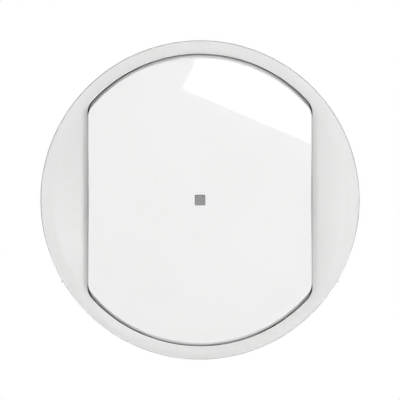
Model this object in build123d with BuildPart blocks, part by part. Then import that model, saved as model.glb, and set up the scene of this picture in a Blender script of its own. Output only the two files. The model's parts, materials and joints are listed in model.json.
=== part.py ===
from build123d import *
import os
from math import cos, radians, sin, sqrt, tan

# A flush wall dimmer: a round dished cover with a rocking finger key in its middle,
# clipped to a square module that sits in the window of a support frame.
#
# Millimetres. +Z is up, +X is to the right of someone facing the wall, and the front
# faces -Y. The origin is the centre of the flange's rear face, where the housing meets
# it; two thin pads behind the flange rest on the support frame. "Out" is the distance
# from that face toward the room, so out = -y, and a depth is a distance behind it, so
# depth = y.

# Round cover
cover_radius = 31.0
cover_crest_out = 8.0
cover_back_out = 0.6
cover_wall = 1.5
cover_rim_roll = 0.45
dish_slope = 8.4                # mean slope of the dish toward the key, degrees
dish_curve_radius = 180.0       # gentle hollow of the dish in section
collar_wall = 1.2               # short wall round the key opening
collar_back_out = 3.6
nub_radius = 0.3                # two grip nubs on the cover's edge
nub_angle = 30.6                # below the level line, degrees
nub_length = 4.0
cover_leg_wall = 1.4
cover_leg_width = 8.0
barb_reach = 0.7
barb_height = 0.9
barb_lift = 1.1                 # barb above the flange
clip_clearance = 0.2

# Finger key
key_end_margin = 2.8            # cover's edge to the key's round ends
key_side_margin = 9.35          # cover's edge to the key's upright sides
key_corner_radius = 3.4
key_face_out = 10.4
key_skirt = 6.2                 # height of the side wall
key_lean_height = 3.2           # upper part of the side wall, which leans in
key_end_lean = 0.7              # how far it leans in at the round ends
key_side_lean = 0.12            # and at the upright sides
key_edge_radius = 0.35
key_wall = 1.5
key_skin = 1.6
key_gap = 0.2                   # between the key and the cover's opening
key_rib_wall = 1.0
key_rib_height = 1.0
key_rib_spacing = 10.0

# Indicator window
window_width = 2.0
lens_clearance = 0.03
lens_flange = 0.7
lens_flange_edge = 0.7
lens_boss_wall = 1.5
lens_boss_height = 1.8

# Pivot of the key
pin_radius = 1.5
pin_clearance = 0.05
pin_stub = 0.5                  # pin beyond the ear
pin_end_gap = 1.0               # pin's end to the key's wall
ear_wall = 1.2
ear_thickness = 1.6
ear_mouth = 2.4                 # snap slot of the ear, narrower than the pin
ear_root_width = 9.0
ear_floor_gap = 0.35            # ear to flange
ear_side_gap = 0.3              # ear to post
post_thickness = 3.0
post_width = 7.0
post_cap_wall = 1.2

# Front carrier
flange_gap = 0.9                # inside the cover's skirt
flange_flat = 2.6               # cut off the flange's round ends
flange_thickness = 1.6
seat_pad_height = 0.3           # pads behind the flange that rest on the support frame
seat_pad_width = 2.6
seat_pad_length = 18.0
seat_pad_margin = 1.4           # pads to the flange's edge
collar_tab_depth = 2.4
collar_tab_length = 22.0
collar_tab_wall = 1.2
collar_tab_clearance = 0.15
catch_gap = 0.35                # cover's collar to the catch wall
catch_wall = 1.1
catch_lip_height = 0.8
catch_width = 10.0
light_tube_wall = 1.1
light_tube_front_out = 4.0
light_tube_tail = 1.4

# Plungers, springs and snap domes
dome_pin_gap = 0.4              # lower snap dome to the busbar's pin
plunger_stem_radius = 1.75
guide_clearance = 0.05
guide_wall = 1.4
guide_rise = 0.6                # guide boss above the flange
guide_tail = 2.4                # guide boss behind the flange
plunger_head_radius = 3.0
plunger_head_thickness = 1.0
plunger_tip_height = 0.7
plunger_tip_margin = 0.3
plunger_contact_gap = 0.05
spring_length = 3.0
spring_wire = 0.35
spring_turns = 3.5
spring_stem_gap = 0.35
spring_seat_gap = 0.02
pusher_width = 6.0
pusher_thickness = 3.0
dome_radius = 2.2
dome_height = 0.7
dome_sheet = 0.12
dome_gap = 0.15                 # plunger to dome at rest

# Light pipe and light
pipe_radius = 1.4
pipe_clearance = 0.03
pipe_flange_edge = 0.8
pipe_flange_thickness = 0.6
pipe_flange_round = 0.2
pipe_light_gap = 0.3
led_length = 2.0
led_width = 1.25
led_base_height = 0.5
led_lens_radius = 0.5
led_lens_height = 0.6
led_lens_round = 0.4

# Circuit board
board_depth = 4.0               # front face behind the flange
board_thickness = 1.6
board_gap = 0.7                 # edge to the housing's wall
board_foot_radius = 1.4
board_foot_inset = 4.5          # feet from the housing's inner side walls
board_foot_z = 9.0
board_notch_clearance = 0.4
board_ledge_width = 1.2
board_ledge_reach = 1.5
board_ledge_z = 11.0

# Rear housing
housing_margin = 8.8            # cover's edge to the housing's sides
housing_corner = 8.0
housing_wall = 1.5
housing_depth = 30.0
housing_edge_radius = 1.0
latch_width = 8.0
latch_proud = 1.2
latch_frame_gap = 1.7           # room for the sheet of the support frame
latch_length = 4.0
latch_nose = 1.0
latch_slit = 0.8
latch_finger_length = 11.0
vent_count = 6
vent_width = 1.4
vent_length = 12.0
vent_pitch = 4.5
vent_centre_z = 6.0

# Housing screws
screw_corner_inset = 4.8        # screws from the housing's sides
screw_shank_radius = 1.2
screw_head_radius = 2.2
screw_sink_angle = 90.0
screw_length = 10.0
screw_tip_radius = 0.6
screw_hole_clearance = 0.15
screw_thread_clearance = 0.05
screw_slot_width = 0.6
screw_slot_depth = 0.5
boss_wall = 1.55
boss_block_gap = 2.0            # screw bosses to the terminal block

# Terminals
terminal_names = ("left", "centre", "right")
terminal_margin = 10.2          # outer terminals from the housing's sides
cage_width = 6.6
cage_height = 5.0
cage_wall = 1.2
cage_side_wall = 1.1
cage_rear_gap = 0.3             # busbar to the threaded wall, clamp fully open
cage_gap = 0.3                  # cage to the walls of its well
clamp_opening = 3.3             # room for the wire, clamp fully open
clamp_travel = 2.5
busbar_width = 4.0
busbar_thickness = 1.0
busbar_slot_clearance = 0.1
busbar_floor_gap = 0.2
busbar_rear_margin = 9.5        # clamped leg's front face to the housing's rear face
board_pin_width = 1.0
board_pin_clearance = 0.2
board_pin_stand = 0.6
terminal_shank_radius = 1.45
terminal_shank_clearance = 0.05
terminal_tip_radius = 0.75
terminal_tip_gap = 0.02
terminal_head_radius = 2.6
terminal_head_thickness = 1.5
terminal_head_clearance = 0.15
terminal_head_web = 0.8
terminal_slot_width = 0.8
terminal_slot_depth = 0.8
driver_hole_radius = 2.2
block_floor = 3.0
block_roof = 2.4
block_side_wall = 2.4
block_shoulder = 1.5
block_front_wall = 2.0          # block ahead of the clamps
block_seam = 0.05
block_leg_radius = 1.3
wire_bore_radius = 1.55
wire_funnel_depth = 0.8
wire_funnel_flare = 0.55

# Power parts behind the board
heatsink_side_gap = 0.7
heatsink_sheet = 1.5
heatsink_front_depth = 7.5
heatsink_foot = 6.0
heatsink_bend = 1.0
transistor_gap = 1.4            # between the two transistors
transistor_width = 10.0
transistor_body_length = 9.0
transistor_thickness = 4.4
transistor_lead_inset = 2.4     # leads to the heatsink's face
transistor_tab_length = 6.4
transistor_tab_thickness = 1.3
transistor_hole_radius = 1.8
transistor_lead_width = 0.8
transistor_lead_thickness = 0.5
transistor_lead_pitch = 2.54
transistor_lead_length = 3.5
choke_wall_gap = 2.8
choke_z = 2.5
choke_radius = 6.4
choke_waist_radius = 2.6
choke_height = 12.0
choke_flange = 1.6
winding_gap = 0.1
winding_inset = 0.5
winding_round = 0.8
film_x = 7.0
film_z = 8.0
film_width = 13.0
film_thickness = 6.0
film_height = 11.0
film_edge_radius = 0.5
can_x = 3.0
can_z = -2.0
can_radius = 4.0
can_height = 11.0
can_edge_radius = 0.5
can_groove = 0.35
can_groove_height = 2.0         # above the board
varistor_wall_gap = 6.2
varistor_z = -2.0
varistor_radius = 3.6
varistor_thickness = 3.0
varistor_lift = 1.2
varistor_round = 1.0
varistor_lead_spread = 2.5
lead_radius = 0.3
fuse_wall_gap = 4.7
fuse_z = -6.4
fuse_radius = 1.5
fuse_length = 8.0
fuse_cap = 1.6
fuse_cap_step = 0.15
fuse_lift = 0.8
chip_x = 9.0
chip_z = 0.0
chip_length = 5.0
chip_width = 3.9
chip_height = 1.4
chip_stand = 0.15
chip_leg_rows = 4
chip_leg_pitch = 1.2
chip_leg_width = 0.4
chip_leg_reach = 1.0
chip_leg_sheet = 0.2

# Places that follow from the sizes above
key_radius = cover_radius - key_end_margin
key_half_width = cover_radius - key_side_margin
key_back_out = key_face_out - key_skirt
key_under_out = key_face_out - key_skin
key_lean_out = key_face_out - key_lean_height

housing_size = 2 * (cover_radius - housing_margin)
housing_half = housing_size / 2
housing_inner = housing_half - housing_wall
inner_corner = housing_corner - housing_wall
rear_wall_depth = housing_depth - housing_wall

skirt_inner_radius = cover_radius - cover_wall
collar_outer_x = key_half_width + key_gap + collar_wall
catch_inner_x = collar_outer_x + catch_gap
catch_outer_x = catch_inner_x + catch_wall
cover_leg_x = catch_outer_x + clip_clearance + barb_reach
barb_back_out = flange_thickness + barb_lift
catch_lip_out = barb_back_out + barb_height + clip_clearance

pivot_out = flange_thickness + ear_floor_gap + ear_wall + pin_clearance + pin_radius
ear_bore_radius = pin_radius + pin_clearance
ear_radius = ear_bore_radius + ear_wall
pin_end_x = key_half_width - key_wall - pin_end_gap
ear_outer_x = pin_end_x - pin_stub
ear_inner_x = ear_outer_x - ear_thickness
post_outer_x = ear_inner_x - ear_side_gap
flange_radius = skirt_inner_radius - flange_gap
flange_half_height = flange_radius - flange_flat

guide_front_out = flange_thickness + guide_rise
guide_bore_radius = plunger_stem_radius + guide_clearance
head_back_out = guide_front_out + spring_length
head_front_out = head_back_out + plunger_head_thickness
tip_out = head_front_out + plunger_tip_height
pusher_back_out = tip_out + plunger_contact_gap
spring_radius = plunger_stem_radius + spring_stem_gap + spring_wire / 2
stem_back_out = -board_depth + dome_height + dome_gap

lens_seat_out = key_under_out - lens_boss_height
lens_width = window_width - 2 * lens_clearance
pipe_back_out = -board_depth + led_base_height + led_lens_height + pipe_light_gap

screw_square = housing_half - screw_corner_inset
boss_radius = screw_shank_radius + screw_thread_clearance + boss_wall
board_back = board_depth + board_thickness
board_foot_x = housing_inner - board_foot_inset
transistor_span = (transistor_width + transistor_gap) / 2
choke_x = choke_wall_gap + choke_radius - housing_inner
fuse_x = fuse_wall_gap + fuse_length / 2 - housing_inner
varistor_x = housing_inner - varistor_wall_gap - varistor_thickness / 2

terminal_pitch = housing_half - terminal_margin
busbar_depth = housing_depth - busbar_rear_margin
wire_depth = busbar_depth - clamp_opening / 2
cage_front_depth = busbar_depth - clamp_opening - cage_wall
block_front_depth = cage_front_depth - block_front_wall
boss_length = block_front_depth - boss_block_gap
cage_window = clamp_opening + busbar_thickness + cage_rear_gap
cage_length = cage_window + 2 * cage_wall
well_back_depth = cage_front_depth + cage_length + clamp_travel + cage_gap
head_front_depth = well_back_depth + terminal_head_web
head_back_depth = head_front_depth + terminal_head_thickness
well_half_width = cage_width / 2 + cage_gap
well_floor_z = -housing_half + block_floor
screw_line_z = well_floor_z + cage_gap + cage_height / 2
well_roof_z = screw_line_z + cage_height / 2 + cage_gap
busbar_top_z = well_roof_z + busbar_thickness
plunger_reach = -busbar_top_z - dome_pin_gap - dome_radius
block_roof_z = busbar_top_z + busbar_slot_clearance + block_roof
nose_half_width = terminal_pitch + well_half_width + block_side_wall
nose_roof_z = block_roof_z - block_shoulder

pieces = []


def front(out):
    """Plane parallel to the wall: x is right, y is up, and it faces the room."""
    return Plane.XZ.offset(out)


def side(x):
    """Upright plane square to the wall: x is up, y is out, and it faces right."""
    return Plane(origin=(x, 0, 0), x_dir=(0, 0, 1), z_dir=(1, 0, 0))


def level(z):
    """Level plane: x is right, y is out, and it faces down."""
    return Plane(origin=(0, 0, z), x_dir=(1, 0, 0), z_dir=(0, 0, -1))


def turned(x=0.0, z=0.0):
    """Plane for a profile of radius and out, turned about a line square to the wall."""
    return Plane(origin=(x, 0, z), x_dir=(1, 0, 0), z_dir=(0, 0, -1))


def turning_axis(x=0.0, z=0.0):
    """The line square to the wall through x and z."""
    return Axis((x, 0, z), (0, 1, 0))


def key_outline(inset, lean=0.0):
    """Disc cut by two upright sides, corners rounded; a negative inset grows it.

    The lean is the share of the wall's lean that the outline has at its height.
    """
    side_inset = inset + lean * key_side_lean
    Circle(key_radius - inset - lean * key_end_lean)
    Rectangle(2 * (key_half_width - side_inset), 3 * key_radius, mode=Mode.INTERSECT)
    fillet(vertices(), key_corner_radius - side_inset)


def leaning_key_block(inset, top_out):
    """Upright lower wall, then the wall that leans in, as far as a height."""
    with BuildPart() as block:
        with BuildSketch(front(key_back_out)):
            key_outline(inset)
        extrude(amount=key_lean_out - key_back_out)
        with BuildSketch(front(key_lean_out)):
            key_outline(inset)
        with BuildSketch(front(top_out)):
            key_outline(inset, (top_out - key_lean_out) / key_lean_height)
        loft(ruled=True)
    return block.part


def bar(left, right, low, high):
    """Rectangle between two places across and two places along the sketch."""
    with Locations(((left + right) / 2, (low + high) / 2)):
        Rectangle(right - left, high - low)


def dish_out(radius):
    """Height of the dish's chord at a radius."""
    return cover_crest_out - (cover_radius - radius) * tan(radians(dish_slope))


def keep(part, label):
    """Name a finished piece and list it for writing."""
    part.label = label
    pieces.append(part)


# The dish runs from the cover's edge to a flat middle that the key opening removes
dish_inner_radius = key_half_width - key_gap
dish_chord = (cover_radius - dish_inner_radius) / cos(radians(dish_slope))
dish_sag = dish_curve_radius - sqrt(dish_curve_radius ** 2 - (dish_chord / 2) ** 2)

# Space between the skirt and the collar, under the dish
with BuildPart() as cover_pocket:
    with BuildSketch(turned()):
        with BuildLine():
            pocket_rim = (skirt_inner_radius, dish_out(skirt_inner_radius) - cover_wall)
            pocket_middle = (dish_inner_radius, dish_out(dish_inner_radius) - cover_wall)
            Polyline((0, pocket_middle[1]), (0, 0), (skirt_inner_radius, 0), pocket_rim)
            SagittaArc(pocket_rim, pocket_middle, -dish_sag)
            Line(pocket_middle, (0, pocket_middle[1]))
        make_face()
    revolve(axis=turning_axis())
    with BuildSketch(front(collar_back_out)):
        key_outline(-(key_gap + collar_wall))
    extrude(amount=cover_crest_out, mode=Mode.SUBTRACT)

# Round cover: skirt, dish, collar, two snap legs and the edge nubs
with BuildPart() as cover_dish:
    with BuildSketch(turned()):
        with BuildLine():
            rim = (cover_radius, cover_crest_out)
            middle = (dish_inner_radius, dish_out(dish_inner_radius))
            Polyline((0, middle[1]), (0, cover_back_out), (cover_radius, cover_back_out), rim)
            SagittaArc(rim, middle, -dish_sag)
            Line(middle, (0, middle[1]))
        make_face()
        fillet(vertices().sort_by_distance(rim)[0], cover_rim_roll)
    revolve(axis=turning_axis())
    add(cover_pocket.part, mode=Mode.SUBTRACT)
    with BuildSketch(front(cover_back_out)):
        key_outline(-key_gap)
    extrude(amount=cover_crest_out, mode=Mode.SUBTRACT)
    leg_top_out = dish_out(cover_leg_x + cover_leg_wall / 2) - cover_wall / 2
    for way in (-1, 1):
        with BuildSketch(level(0)):
            Polygon((way * cover_leg_x, leg_top_out),
                    (way * cover_leg_x, barb_back_out + barb_height),
                    (way * (cover_leg_x - barb_reach), barb_back_out + barb_height),
                    (way * cover_leg_x, barb_back_out),
                    (way * cover_leg_x, flange_thickness),
                    (way * (cover_leg_x + cover_leg_wall), flange_thickness),
                    (way * (cover_leg_x + cover_leg_wall), leg_top_out))
        extrude(amount=cover_leg_width / 2, both=True)
        nub_x = way * cover_radius * cos(radians(nub_angle))
        nub_z = -cover_radius * sin(radians(nub_angle))
        with BuildSketch(front(cover_back_out + cover_wall)):
            with Locations((nub_x, nub_z)):
                Circle(nub_radius)
        extrude(amount=nub_length)
keep(cover_dish.part, "cover_dish")

# Finger key: leaning shell with its ears, pushers, ribs and window boss
key_block = leaning_key_block(0, key_face_out)
key_hollow = leaning_key_block(key_wall, key_under_out)
with BuildPart() as rocker_key:
    add(key_block)
    fillet(rocker_key.faces().sort_by(Axis.Y)[0].edges(), key_edge_radius)
    add(key_hollow, mode=Mode.SUBTRACT)
    rib_back_out = key_under_out - key_rib_height
    with BuildSketch(front(rib_back_out)):
        for across in (-key_rib_spacing, key_rib_spacing):
            with Locations((across, 0)):
                Rectangle(key_rib_wall, 2 * key_radius)
        for up in (-plunger_reach, plunger_reach):
            with Locations((0, up)):
                Rectangle(2 * key_half_width, key_rib_wall)
        with BuildSketch(mode=Mode.INTERSECT):
            key_outline(key_wall)
    extrude(amount=key_rib_height + key_skin / 2)
    for up in (-plunger_reach, plunger_reach):
        with BuildSketch(front(pusher_back_out)):
            with Locations((0, up)):
                RectangleRounded(pusher_width, pusher_thickness, key_edge_radius)
        extrude(amount=key_under_out - pusher_back_out + key_skin / 2)
    with BuildSketch(front(lens_seat_out)):
        RectangleRounded(window_width + 2 * lens_boss_wall, window_width + 2 * lens_boss_wall,
                         key_edge_radius)
    extrude(amount=lens_boss_height + key_skin / 2)
    with BuildSketch(front(lens_seat_out)):
        Rectangle(window_width, window_width)
    extrude(amount=key_face_out - lens_seat_out, mode=Mode.SUBTRACT)
    for ear_x in (-ear_outer_x, ear_inner_x):
        with BuildSketch(side(ear_x)):
            with Locations((0, pivot_out)):
                Circle(ear_radius)
            with Locations((0, key_under_out + key_skin / 4)):
                Rectangle(ear_root_width, key_skin / 2)
            make_hull()
        extrude(amount=ear_thickness)
        with BuildSketch(side(ear_x)):
            with Locations((0, pivot_out)):
                Circle(ear_bore_radius)
            bar(-ear_mouth / 2, ear_mouth / 2, pivot_out - 2 * ear_radius, pivot_out)
        extrude(amount=ear_thickness, mode=Mode.SUBTRACT)
keep(rocker_key.part, "rocker_key")

# Indicator window, pushed in from behind until its flange meets the boss
with BuildPart() as indicator_lens:
    with BuildSketch(front(lens_seat_out)):
        Rectangle(lens_width, lens_width)
    extrude(amount=key_face_out - lens_seat_out)
    with BuildSketch(front(lens_seat_out - lens_flange)):
        Rectangle(window_width + 2 * lens_flange_edge, window_width + 2 * lens_flange_edge)
    extrude(amount=lens_flange)
keep(indicator_lens.part, "indicator_lens")

# Front carrier: flange, pivot posts, plunger guides, light tube, catches and feet
with BuildPart() as front_carrier:
    with BuildSketch(front(0)):
        Circle(flange_radius)
        Rectangle(2 * flange_radius, 2 * flange_half_height, mode=Mode.INTERSECT)
    extrude(amount=flange_thickness)
    for way in (-1, 1):
        post_left = min(way * post_outer_x, way * (post_outer_x - post_thickness))
        with BuildSketch(side(post_left)):
            with Locations((0, pivot_out)):
                Circle(pin_radius + post_cap_wall)
            with Locations((0, flange_thickness / 2)):
                Rectangle(post_width, flange_thickness)
            make_hull()
        extrude(amount=post_thickness)
        pin_left = min(way * post_outer_x, way * pin_end_x)
        with BuildSketch(side(pin_left)):
            with Locations((0, pivot_out)):
                Circle(pin_radius)
        extrude(amount=pin_end_x - post_outer_x)
        with BuildSketch(level(0)):
            Polygon((way * catch_inner_x, flange_thickness / 2),
                    (way * catch_inner_x, catch_lip_out + catch_lip_height),
                    (way * catch_outer_x, catch_lip_out + catch_lip_height),
                    (way * (cover_leg_x - clip_clearance), catch_lip_out),
                    (way * catch_outer_x, catch_lip_out),
                    (way * catch_outer_x, flange_thickness / 2))
        extrude(amount=catch_width / 2, both=True)
        with BuildSketch(front(-seat_pad_height)):
            with Locations((way * (flange_radius - seat_pad_margin - seat_pad_width / 2), 0)):
                RectangleRounded(seat_pad_width, seat_pad_length, seat_pad_height)
        extrude(amount=seat_pad_height)
        # Tabs that locate the housing, above and below
        with BuildSketch(front(-collar_tab_depth)):
            tab_z = housing_inner - collar_tab_clearance - collar_tab_wall / 2
            with Locations((0, way * tab_z)):
                Rectangle(collar_tab_length, collar_tab_wall)
        extrude(amount=collar_tab_depth)
        with BuildSketch(front(-guide_tail)):
            with Locations((0, way * plunger_reach)):
                Circle(guide_bore_radius + guide_wall)
        extrude(amount=guide_tail + guide_front_out)
    with BuildSketch(front(-light_tube_tail)):
        Circle(pipe_radius + pipe_clearance + light_tube_wall)
    extrude(amount=light_tube_tail + light_tube_front_out)
    with BuildSketch(front(-light_tube_tail)):
        Circle(pipe_radius + pipe_clearance)
    extrude(amount=light_tube_tail + light_tube_front_out, mode=Mode.SUBTRACT)
    with BuildSketch(front(-guide_tail)):
        with Locations((0, -plunger_reach), (0, plunger_reach)):
            Circle(guide_bore_radius)
    extrude(amount=guide_tail + guide_front_out, mode=Mode.SUBTRACT)
    with BuildSketch(front(-board_depth)):
        with GridLocations(2 * board_foot_x, 2 * board_foot_z, 2, 2):
            Circle(board_foot_radius)
    extrude(amount=board_depth)
    with Locations(front(flange_thickness)):
        with GridLocations(2 * screw_square, 2 * screw_square, 2, 2):
            CounterSinkHole(screw_shank_radius + screw_hole_clearance,
                            screw_head_radius + screw_hole_clearance,
                            depth=flange_thickness, counter_sink_angle=screw_sink_angle)
keep(front_carrier.part, "front_carrier")

# Clear rod that brings the light from the board to the window
with BuildPart() as light_pipe:
    with BuildSketch(front(pipe_back_out)):
        Circle(pipe_radius)
    extrude(amount=light_tube_front_out - pipe_back_out)
    with BuildSketch(front(light_tube_front_out)):
        Circle(pipe_radius + pipe_flange_edge)
    extrude(amount=pipe_flange_thickness)
    fillet(light_pipe.faces().sort_by(Axis.Y)[0].edges(), pipe_flange_round)
keep(light_pipe.part, "light_pipe")

# Plungers, return springs and snap domes, one set above the pivot and one below
for name, z in (("upper", plunger_reach), ("lower", -plunger_reach)):
    with BuildPart() as plunger:
        with BuildSketch(turned(0, z)):
            tip_radius = plunger_head_radius - plunger_tip_margin
            with BuildLine():
                Polyline((0, tip_out), (0, stem_back_out), (plunger_stem_radius, stem_back_out),
                         (plunger_stem_radius, head_back_out), (plunger_head_radius, head_back_out),
                         (plunger_head_radius, head_front_out), (tip_radius, head_front_out))
                TangentArc((0, tip_out), (tip_radius, head_front_out), tangent=(1, 0))
            make_face()
        revolve(axis=turning_axis(0, z))
    keep(plunger.part, name + "_plunger")

    with BuildPart() as return_spring:
        coil_back_out = guide_front_out + spring_seat_gap + spring_wire / 2
        coil_height = spring_length - 2 * spring_seat_gap - spring_wire
        with BuildLine() as coil:
            Helix(coil_height / spring_turns, coil_height, spring_radius,
                  center=(0, -coil_back_out, z), direction=(0, -1, 0))
        with BuildSketch(Plane(origin=coil.line @ 0, z_dir=coil.line % 0)):
            Circle(spring_wire / 2)
        sweep(path=coil.line)
    keep(return_spring.part, name + "_return_spring")

    with BuildPart() as snap_dome:
        with BuildSketch(turned(0, z)):
            with BuildLine():
                Line((dome_radius, -board_depth), (dome_radius - 2 * dome_sheet, -board_depth))
                TangentArc((0, dome_height - dome_sheet - board_depth),
                           (dome_radius - 2 * dome_sheet, -board_depth), tangent=(1, 0))
                Line((0, dome_height - dome_sheet - board_depth), (0, dome_height - board_depth))
                TangentArc((0, dome_height - board_depth), (dome_radius, -board_depth),
                           tangent=(1, 0))
            make_face()
        revolve(axis=turning_axis(0, z))
    keep(snap_dome.part, name + "_snap_dome")

# Indicator light on the board
with BuildPart() as indicator_led:
    with BuildSketch(front(-board_depth)):
        Rectangle(led_length, led_width)
    extrude(amount=led_base_height)
    with BuildSketch(front(led_base_height - board_depth)):
        Circle(led_lens_radius)
    extrude(amount=led_lens_height)
    fillet(indicator_led.faces().sort_by(Axis.Y)[0].edges(), led_lens_round)
keep(indicator_led.part, "indicator_led")

# Circuit board, notched round the screw bosses and pierced for the busbar pins
terminal_x = [(place - 1) * terminal_pitch for place in range(len(terminal_names))]
busbar_mid_z = well_roof_z + busbar_thickness / 2
with BuildPart() as circuit_board:
    with BuildSketch(front(-board_back)):
        board_size = 2 * (housing_inner - board_gap)
        RectangleRounded(board_size, board_size, inner_corner - board_gap)
        with GridLocations(2 * screw_square, 2 * screw_square, 2, 2):
            Circle(boss_radius + board_notch_clearance, mode=Mode.SUBTRACT)
        with Locations(*[(x, busbar_mid_z) for x in terminal_x]):
            Rectangle(board_pin_width + 2 * board_pin_clearance,
                      board_pin_width + 2 * board_pin_clearance, mode=Mode.SUBTRACT)
    extrude(amount=board_thickness)
keep(circuit_board.part, "circuit_board")

# Controller chip on the front of the board
with BuildPart() as controller_chip:
    with BuildSketch(front(chip_stand - board_depth)):
        with Locations((chip_x, chip_z)):
            Rectangle(chip_width, chip_length)
    extrude(amount=chip_height)
    for way in (-1, 1):
        with BuildSketch(level(chip_z - (chip_leg_rows - 1) / 2 * chip_leg_pitch
                               + chip_leg_width / 2)):
            body_x = chip_x + way * chip_width / 2
            knee_out = chip_stand + chip_height / 2 - board_depth
            Polygon((body_x - way * chip_leg_sheet, knee_out),
                    (body_x - way * chip_leg_sheet, knee_out + chip_leg_sheet),
                    (body_x + way * (chip_leg_reach / 2), knee_out + chip_leg_sheet),
                    (body_x + way * (chip_leg_reach / 2), chip_leg_sheet - board_depth),
                    (body_x + way * chip_leg_reach, chip_leg_sheet - board_depth),
                    (body_x + way * chip_leg_reach, -board_depth),
                    (body_x + way * (chip_leg_reach / 2 - chip_leg_sheet), -board_depth),
                    (body_x + way * (chip_leg_reach / 2 - chip_leg_sheet), knee_out))
        leg = extrude(amount=chip_leg_width, mode=Mode.PRIVATE)
        with Locations(*[(0, 0, row * chip_leg_pitch) for row in range(chip_leg_rows)]):
            add(leg)
keep(controller_chip.part, "controller_chip")

# Interference choke: ferrite drum and its winding
with BuildPart() as choke_core:
    with BuildSketch(turned(choke_x, choke_z)):
        bar(0, choke_radius, -board_back - choke_flange, -board_back)
        bar(0, choke_waist_radius, -board_back - choke_height, -board_back)
        bar(0, choke_radius, -board_back - choke_height, choke_flange - board_back - choke_height)
    revolve(axis=turning_axis(choke_x, choke_z))
keep(choke_core.part, "choke_core")

with BuildPart() as choke_winding:
    with BuildSketch(turned(choke_x, choke_z)):
        bar(choke_waist_radius, choke_radius - winding_inset,
            choke_flange + winding_gap - board_back - choke_height,
            -board_back - choke_flange - winding_gap)
        fillet(vertices().group_by(Axis.X)[-1], winding_round)
    revolve(axis=turning_axis(choke_x, choke_z))
keep(choke_winding.part, "choke_winding")

# Film capacitor
with BuildPart() as film_capacitor:
    with BuildSketch(front(-board_back - film_height)):
        with Locations((film_x, film_z)):
            Rectangle(film_width, film_thickness)
    extrude(amount=film_height)
    fillet(film_capacitor.edges().filter_by(Axis.Y), film_edge_radius)
    fillet(film_capacitor.faces().sort_by(Axis.Y)[-1].edges(), film_edge_radius / 2)
keep(film_capacitor.part, "film_capacitor")

# Electrolytic capacitor: rolled can with a crimp groove near its foot
with BuildPart() as electrolytic_capacitor:
    with BuildSketch(front(-board_back - can_height)):
        with Locations((can_x, can_z)):
            Circle(can_radius)
    extrude(amount=can_height)
    fillet(electrolytic_capacitor.faces().sort_by(Axis.Y)[-1].edges(), can_edge_radius)
    with BuildSketch(turned(can_x, can_z)):
        with Locations((can_radius, -board_back - can_groove_height)):
            Circle(can_groove)
    revolve(axis=turning_axis(can_x, can_z), mode=Mode.SUBTRACT)
keep(electrolytic_capacitor.part, "electrolytic_capacitor")

# Varistor: a coated disc on two leads
with BuildPart() as varistor:
    disc_out = -board_back - varistor_lift - varistor_radius
    with BuildSketch(side(varistor_x - varistor_thickness / 2)):
        with Locations((varistor_z, disc_out)):
            Circle(varistor_radius)
    extrude(amount=varistor_thickness)
    fillet(varistor.edges().filter_by(GeomType.CIRCLE), varistor_round)
    with BuildSketch(front(disc_out)):
        with Locations((varistor_x, varistor_z - varistor_lead_spread / 2),
                       (varistor_x, varistor_z + varistor_lead_spread / 2)):
            Circle(lead_radius)
    extrude(amount=varistor_lift + varistor_radius)
keep(varistor.part, "varistor")

# Fuse: a tube with two end caps, lying along the board on bent leads
with BuildPart() as fuse:
    fuse_out = -board_back - fuse_lift - fuse_radius - fuse_cap_step
    with BuildSketch(side(fuse_x - fuse_length / 2)):
        with Locations((fuse_z, fuse_out)):
            Circle(fuse_radius)
    extrude(amount=fuse_length)
    for cap_x in (fuse_x - fuse_length / 2, fuse_x + fuse_length / 2 - fuse_cap):
        with BuildSketch(side(cap_x)):
            with Locations((fuse_z, fuse_out)):
                Circle(fuse_radius + fuse_cap_step)
        extrude(amount=fuse_cap)
    with BuildSketch(front(fuse_out)):
        with Locations((fuse_x - fuse_length / 2 + fuse_cap / 2, fuse_z),
                       (fuse_x + fuse_length / 2 - fuse_cap / 2, fuse_z)):
            Circle(lead_radius)
    extrude(amount=-board_back - fuse_out)
keep(fuse.part, "fuse")

# Heatsink: a bent sheet under the housing's roof, with a foot on the rear wall
heatsink_half_width = housing_half - housing_corner - heatsink_side_gap
with BuildPart() as heatsink_plate:
    with BuildSketch(side(-heatsink_half_width)):
        with BuildLine():
            Polyline((housing_inner, -heatsink_front_depth), (housing_inner, -rear_wall_depth),
                     (housing_inner - heatsink_foot, -rear_wall_depth),
                     (housing_inner - heatsink_foot, heatsink_sheet - rear_wall_depth),
                     (housing_inner - heatsink_sheet, heatsink_sheet - rear_wall_depth),
                     (housing_inner - heatsink_sheet, -heatsink_front_depth),
                     close=True)
        make_face()
        fillet(vertices().sort_by_distance((housing_inner, -rear_wall_depth))[0],
               heatsink_bend + heatsink_sheet / 2)
    extrude(amount=2 * heatsink_half_width)
keep(heatsink_plate.part, "heatsink_plate")

# Power transistors, flat against the heatsink with their leads in the board
transistor_top_z = housing_inner - heatsink_sheet
for name, x in (("left", -transistor_span), ("right", transistor_span)):
    body_front = board_back + transistor_lead_length
    body_rear = body_front + transistor_body_length
    with BuildPart() as transistor:
        with BuildSketch(side(x - transistor_width / 2)):
            bar(transistor_top_z - transistor_thickness, transistor_top_z, -body_rear, -body_front)
            chamfer(vertices().group_by(Axis.X)[0], transistor_tab_thickness / 2)
        extrude(amount=transistor_width)
        with BuildSketch(level(transistor_top_z)):
            bar(x - transistor_width / 2, x + transistor_width / 2,
                -body_rear - transistor_tab_length, -body_front)
            with Locations((x, -body_rear - transistor_tab_length / 2)):
                Circle(transistor_hole_radius, mode=Mode.SUBTRACT)
        extrude(amount=transistor_tab_thickness)
        with BuildSketch(front(-body_front)):
            with Locations((x, transistor_top_z - transistor_lead_inset)):
                with GridLocations(transistor_lead_pitch, 1, 3, 1):
                    Rectangle(transistor_lead_width, transistor_lead_thickness)
        extrude(amount=transistor_lead_length)
    keep(transistor.part, name + "_transistor")

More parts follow.
